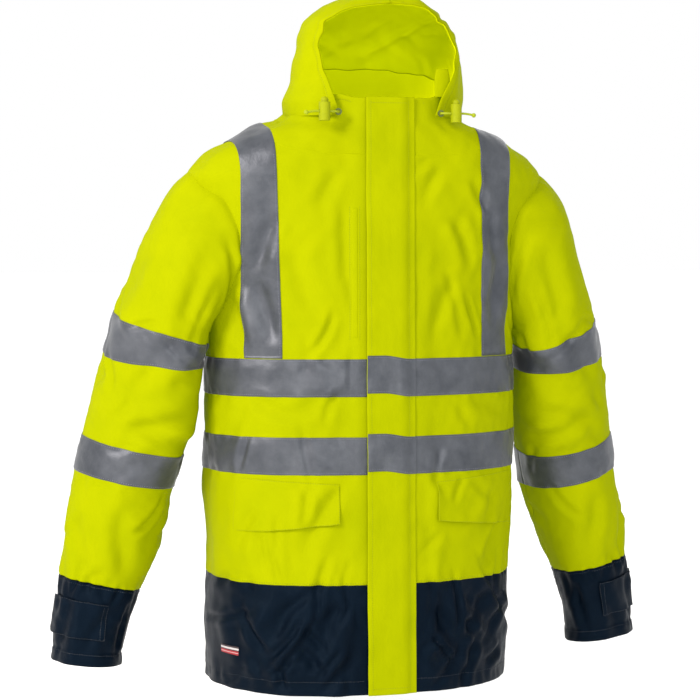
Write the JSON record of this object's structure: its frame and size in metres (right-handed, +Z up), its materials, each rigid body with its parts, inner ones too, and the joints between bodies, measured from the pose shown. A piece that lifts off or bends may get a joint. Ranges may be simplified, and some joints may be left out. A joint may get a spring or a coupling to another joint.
{
  "type": "foul weather jacket",
  "caption": "Hooded high-visibility waterproof parka, zipped, with storm flap, reflective bands, pocket flaps, cuff tabs and hood cord locks.",
  "frame": {"origin": "the point inside the back of the neck where a coat hook sits in the hang loop", "axes": "+Z up, -Y the front of the jacket, +X the wearer's left"},
  "size_m": [0.857, 0.3365, 0.94],
  "materials": {
    "shell_yellow": "coated woven polyester, fluorescent yellow",
    "shell_navy": "coated woven polyester, dark navy",
    "lining_navy": "soft lining",
    "reflective_tape": "grey retroreflective tape, sewn on",
    "zip_moulding": "moulded teeth on a woven tape",
    "zip_metal": "die-cast",
    "snap_metal": "plated",
    "hook_loop": "loop pile",
    "loop_webbing": "narrow woven tape",
    "label_weave": "woven label with plain stripes",
    "cord_yellow": "braided cord",
    "lock_plastic": "moulded"
  },
  "bodies": {
    "garment": {"front_panel_left": "shell_yellow", "front_panel_right": "shell_yellow", "front_hem_panel_left": "shell_navy", "front_hem_panel_right": "shell_navy", "back_panel": "shell_yellow", "back_hem_panel": "shell_navy", "collar": "shell_yellow", "collar_lining": "shell_yellow", "hang_loop": "loop_webbing", "chest_tape_left": "reflective_tape", "chest_tape_right": "reflective_tape", "chest_tape_back": "reflective_tape", "waist_tape_left": "reflective_tape", "waist_tape_right": "reflective_tape", "waist_tape_back": "reflective_tape", "brace_tape_left": "reflective_tape", "brace_tape_right": "reflective_tape", "storm_flap_seam": "shell_yellow", "zip_half_left": "zip_moulding", "zip_half_right": "zip_moulding", "zip_bottom_box": "zip_moulding", "snap_sockets": "snap_metal", "chest_welt": "shell_yellow", "hem_label": "label_weave", "hand_pocket_bag_left": "lining_navy", "hand_pocket_bag_right": "lining_navy"},
    "storm_flap": {"storm_flap": "shell_yellow", "chest_tape_flap": "reflective_tape", "waist_tape_flap": "reflective_tape", "snap_studs": "snap_metal"},
    "zip_slider": {"zip_slider": "zip_metal", "zip_pull": "zip_metal"},
    "hood": {"hood_side_left": "shell_yellow", "hood_side_right": "shell_yellow", "hood_centre": "shell_yellow", "hood_hem": "shell_yellow", "hood_eyelet_left": "lock_plastic", "hood_eyelet_right": "lock_plastic", "hood_cord_left": "cord_yellow", "hood_cord_right": "cord_yellow"},
    "pocket_flap_left": {"hand_pocket_flap_left": "shell_yellow"},
    "sleeve_left": {"sleeve_front_left": "shell_yellow", "sleeve_back_left": "shell_yellow", "cuff_panel_left": "shell_navy", "arm_tape_left": "reflective_tape", "forearm_tape_left": "reflective_tape", "cuff_loop_patch_left": "hook_loop"},
    "cuff_tab_left": {"cuff_tab_left": "shell_navy"},
    "cord_lock_left": {"cord_lock_left": "lock_plastic"},
    "cord_lock_button_left": {"cord_lock_button_left": "lock_plastic"},
    "pocket_flap_right": {"hand_pocket_flap_right": "shell_yellow"},
    "sleeve_right": {"sleeve_front_right": "shell_yellow", "sleeve_back_right": "shell_yellow", "cuff_panel_right": "shell_navy", "arm_tape_right": "reflective_tape", "forearm_tape_right": "reflective_tape", "cuff_loop_patch_right": "hook_loop"},
    "cuff_tab_right": {"cuff_tab_right": "shell_navy"},
    "cord_lock_right": {"cord_lock_right": "lock_plastic"},
    "cord_lock_button_right": {"cord_lock_button_right": "lock_plastic"}
  },
  "joints": [
    {"name": "storm_flap_fold", "type": "hinge", "parent": "garment", "child": "storm_flap", "pos_m": [0.0326, -0.1596, -0.368], "axis": [0, 0.015, 0.9999], "range_deg": [0, 110]},
    {"name": "zip_run", "type": "slide", "parent": "garment", "child": "zip_slider", "axis": [0, -0.015, -0.9999], "range_m": [0, 0.7]},
    {"name": "hood_fold_back", "type": "hinge", "parent": "garment", "child": "hood", "pos_m": [0, 0.0215, 0.0085], "axis": [-1, 0, 0], "range_deg": [0, 80]},
    {"name": "sleeve_raise_left", "type": "hinge", "parent": "garment", "child": "sleeve_left", "pos_m": [0.228, -0.04, -0.062], "axis": [0, -1, 0], "range_deg": [0, 60]},
    {"name": "cuff_tab_peel_left", "type": "hinge", "parent": "sleeve_left", "child": "cuff_tab_left", "pos_m": [0.35973, -0.027, -0.67853], "axis": [0.1542, -0.0011, -0.988], "range_deg": [0, 80]},
    {"name": "pocket_flap_lift_left", "type": "hinge", "parent": "garment", "child": "pocket_flap_left", "pos_m": [0.14534, -0.1332, -0.4778], "axis": [-0.8846, -0.4663, 0], "range_deg": [0, 100]},
    {"name": "cord_lock_slide_left", "type": "slide", "parent": "hood", "child": "cord_lock_left", "axis": [1, 0, 0], "range_m": [0, 0.01]},
    {"name": "cord_lock_press_left", "type": "slide", "parent": "cord_lock_left", "child": "cord_lock_button_left", "axis": [0, 0, -1], "range_m": [0, 0.004], "stiffness_N_per_m": 900},
    {"name": "sleeve_raise_right", "type": "hinge", "parent": "garment", "child": "sleeve_right", "pos_m": [-0.228, -0.04, -0.062], "axis": [0, 1, 0], "range_deg": [0, 60]},
    {"name": "cuff_tab_peel_right", "type": "hinge", "parent": "sleeve_right", "child": "cuff_tab_right", "pos_m": [-0.35973, -0.027, -0.67853], "axis": [0.1542, 0.0011, 0.988], "range_deg": [0, 80]},
    {"name": "pocket_flap_lift_right", "type": "hinge", "parent": "garment", "child": "pocket_flap_right", "pos_m": [-0.14534, -0.1332, -0.4778], "axis": [-0.8846, 0.4663, 0], "range_deg": [0, 100]},
    {"name": "cord_lock_slide_right", "type": "slide", "parent": "hood", "child": "cord_lock_right", "axis": [-1, 0, 0], "range_m": [0, 0.01]},
    {"name": "cord_lock_press_right", "type": "slide", "parent": "cord_lock_right", "child": "cord_lock_button_right", "axis": [0, 0, -1], "range_m": [0, 0.004], "stiffness_N_per_m": 900}
  ]
}
